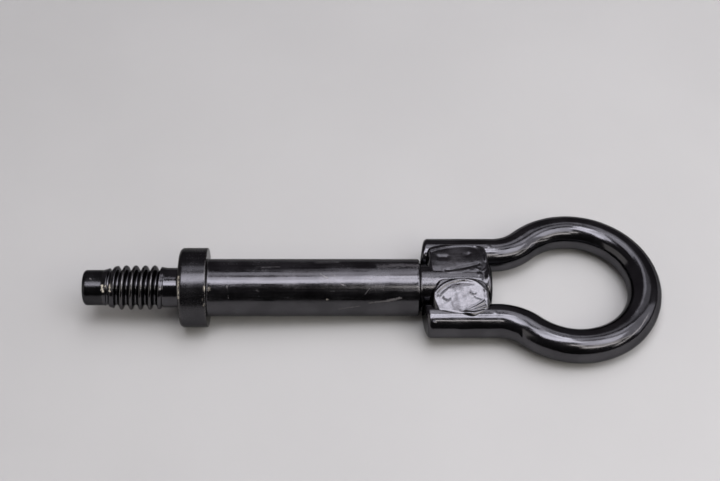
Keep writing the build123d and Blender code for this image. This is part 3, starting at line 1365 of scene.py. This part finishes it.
@dataclass(frozen=True)
class Panel:
    """A soft rectangular light that hangs over the part.

    Attributes:
        name: Name of the light.
        x: Station of its middle along X, in metres.
        elevation: Degrees of its middle from the front horizon, past 90 behind the part.
        size: Size along X and across it, in metres.
        radiance: Brightness of its face.
        distance: Distance of its middle from the X axis, in metres.
        slant: Turn about its own facing axis, in degrees.
        aim_x: Station that it faces, or None for its own.
        colour: Colour of its light.
    """

    name: str
    x: float
    elevation: float
    size: tuple[float, float]
    radiance: float
    distance: float = 1.0
    slant: float = 0.0
    aim_x: float | None = None
    colour: Colour = COOL_LIGHT

    def hang(self) -> None:
        """Hang the light in the scene."""
        angle = math.radians(self.elevation)
        place = Vector((self.x, -self.distance * math.cos(angle), self.distance * math.sin(angle)))
        target = Vector((self.x if self.aim_x is None else self.aim_x, 0.0, 0.0))
        lamp = bpy.data.lights.new(self.name, "AREA")
        lamp.shape = "RECTANGLE"
        lamp.size, lamp.size_y = self.size
        lamp.energy = self.radiance * math.pi * self.size[0] * self.size[1]
        lamp.color = self.colour
        holder = bpy.data.objects.new(self.name, lamp)
        facing = (target - place).to_track_quat("-Z", "Y")
        turn = facing @ Quaternion((0.0, 0.0, 1.0), math.radians(self.slant))
        holder.matrix_world = Matrix.LocRotScale(place, turn, None)
        bpy.context.scene.collection.objects.link(holder)


@dataclass
class Studio:
    """The pale table, the soft lights and the dim room around them."""

    table_size: float = 6.0
    table_colour: Colour = (0.56, 0.55, 0.53)
    table_shade: float = 0.965
    table_roughness: float = 0.62
    cloud_noise: tuple[float, float] = (0.012, 4.0)
    cloud_range: tuple[float, float] = (0.3, 0.7)
    front_room: Colour = (0.028, 0.0265, 0.028)
    back_room: Colour = (0.12, 0.109, 0.123)
    panels: tuple[Panel, ...] = (
        Panel("front_panel", -0.025, 77.1, (0.60, 0.23), 7.0, slant=ROW_SLANT),
        Panel("top_panel", -0.025, 89.9, (0.60, 0.175), 4.65, slant=ROW_SLANT),
        Panel("weld_panel", 0.145, 97.4, (0.14, 0.24), 4.15, slant=ROW_SLANT),
        Panel("back_panel", 0.03, 110.5, (0.36, 0.22), 2.3, slant=ROW_SLANT),
        Panel("weld_back_panel", 0.17, 124.0, (0.22, 0.34), 1.3, slant=ROW_SLANT),
        Panel("ring_panel", 0.60, 74.0, (0.71, 0.49), 3.35),
        Panel("ring_back_panel", 0.48, 104.0, (0.45, 0.24), 1.5),
        Panel("side_panel", 0.45, 125.0, (0.70, 0.18), 0.6),
        Panel("leg_strip", 0.20, 56.0, (0.20, 0.10), 5.6, colour=WARM_LIGHT),
        Panel("bend_strip", 1.0, 56.0, (1.16, 0.13), 2.5, colour=WARM_LIGHT),
        Panel("ring_strip", 0.68, 45.5, (0.84, 0.17), 4.15, colour=WARM_LIGHT),
        Panel("right_panel", 1.0, 90.0, (0.85, 1.3), 1.1, distance=0.75, aim_x=0.08),
        Panel("right_strip", 1.0, 52.5, (1.0, 0.07), 4.2, distance=0.54, slant=13.0, aim_x=0.08,
              colour=WARM_LIGHT),
        Panel("left_panel", -1.0, 57.0, (0.95, 0.9), 0.6, distance=0.5, aim_x=-0.08,
              colour=WARM_LIGHT),
    )

    def build_table(self, place: Placement) -> None:
        """Lay the plain table top under the part.

        Args:
            place: Placement of the drawing's frame, for the finish's coordinates.
        """
        half = self.table_size / 2
        mesh = bpy.data.meshes.new("table_top")
        corners = [(-half, -half, 0.0), (half, -half, 0.0), (half, half, 0.0), (-half, half, 0.0)]
        mesh.from_pydata(corners, [], [(0, 1, 2, 3)])
        table = bpy.data.objects.new("table_top", mesh)
        bpy.context.scene.collection.objects.link(table)
        graph = Graph("table_laminate", place)
        cloud = graph.fade(graph.noise(graph.position, *self.cloud_noise), *self.cloud_range)
        pale = self.table_colour + (1.0,)
        shade = tuple(self.table_shade * c for c in self.table_colour) + (1.0,)
        graph.join(graph.shader.inputs["Base Color"], graph.blend(cloud, shade, pale))
        graph.shader.inputs["Roughness"].default_value = self.table_roughness
        mesh.materials.append(graph.material)

    def light(self) -> None:
        """Hang the panels and fill the room with dim light."""
        for panel in self.panels:
            panel.hang()
        world = bpy.data.worlds.new("dim_room")
        world.use_nodes = True
        nodes, links = world.node_tree.nodes, world.node_tree.links
        coordinates = nodes.new("ShaderNodeTexCoord")
        split = nodes.new("ShaderNodeSeparateXYZ")
        ramp = nodes.new("ShaderNodeValToRGB")
        spread = nodes.new("ShaderNodeMapRange")
        links.new(coordinates.outputs["Generated"], split.inputs["Vector"])
        links.new(split.outputs["Y"], spread.inputs["Value"])
        spread.inputs["From Min"].default_value = -1.0
        links.new(spread.outputs["Result"], ramp.inputs["Fac"])
        for element, colour in zip(ramp.color_ramp.elements, (self.front_room, self.back_room)):
            element.color = colour + (1.0,)
        links.new(ramp.outputs["Color"], nodes["Background"].inputs["Color"])
        bpy.context.scene.world = world


@dataclass
class PhotoCamera:
    """The camera of the photograph, found by fitting the part's outlines to it."""

    elevation: float = 51.1913
    azimuth: float = 1.4071
    roll: float = -2.9149
    distance: float = 0.540
    target: Point = (-0.005062, 0.032930, 0.0)
    lens: float = 66.4636
    sensor_width: float = 36.0
    clip_start: float = 0.01

    def build(self) -> None:
        """Set the camera up and make it the scene's own."""
        lift, swing, roll = (math.radians(a) for a in (self.elevation, self.azimuth, self.roll))
        back = Vector((math.sin(swing) * math.cos(lift), -math.cos(swing) * math.cos(lift), math.sin(lift)))
        level = Vector((math.cos(swing), math.sin(swing), 0.0))
        right = Matrix.Rotation(roll, 3, back) @ level
        up = back.cross(right)
        data = bpy.data.cameras.new("photo_camera")
        data.lens = self.lens
        data.sensor_fit = "HORIZONTAL"
        data.sensor_width = self.sensor_width
        data.clip_start = self.clip_start
        camera = bpy.data.objects.new("photo_camera", data)
        matrix = Matrix((right, up, back)).transposed().to_4x4()
        matrix.translation = Vector(self.target) + back * self.distance
        camera.matrix_world = matrix
        bpy.context.scene.collection.objects.link(camera)
        bpy.context.scene.camera = camera


def main() -> None:
    """Build, dress and light the tow eye."""
    logging.basicConfig(level=logging.INFO, format="%(name)s: %(message)s")
    bpy.context.scene.view_settings.view_transform = "Standard"
    shank = Shank()
    eye = Eye(spigot_d=shank.spigot_d, shoulder_x=shank.shoulder_x)
    place = Placement.from_mounts(frame["record"]["mounts"], eye.eye_x)
    finishes = make_finishes(shank)

    jobs = [(shank, ("pilot", "thread", "collar", "body")), (eye, ("eye",))]
    jobs += [(weld, ("weld",)) for weld in make_welds(shank, eye)]
    for maker, regions in jobs:
        piece = maker.build(place, [finishes[region] for region in regions])
        LOG.info("%s has %d faces", piece.name, len(piece.data.polygons))

    studio = Studio()
    studio.build_table(place)
    studio.light()
    PhotoCamera().build()


if __name__ == "__main__":
    main()
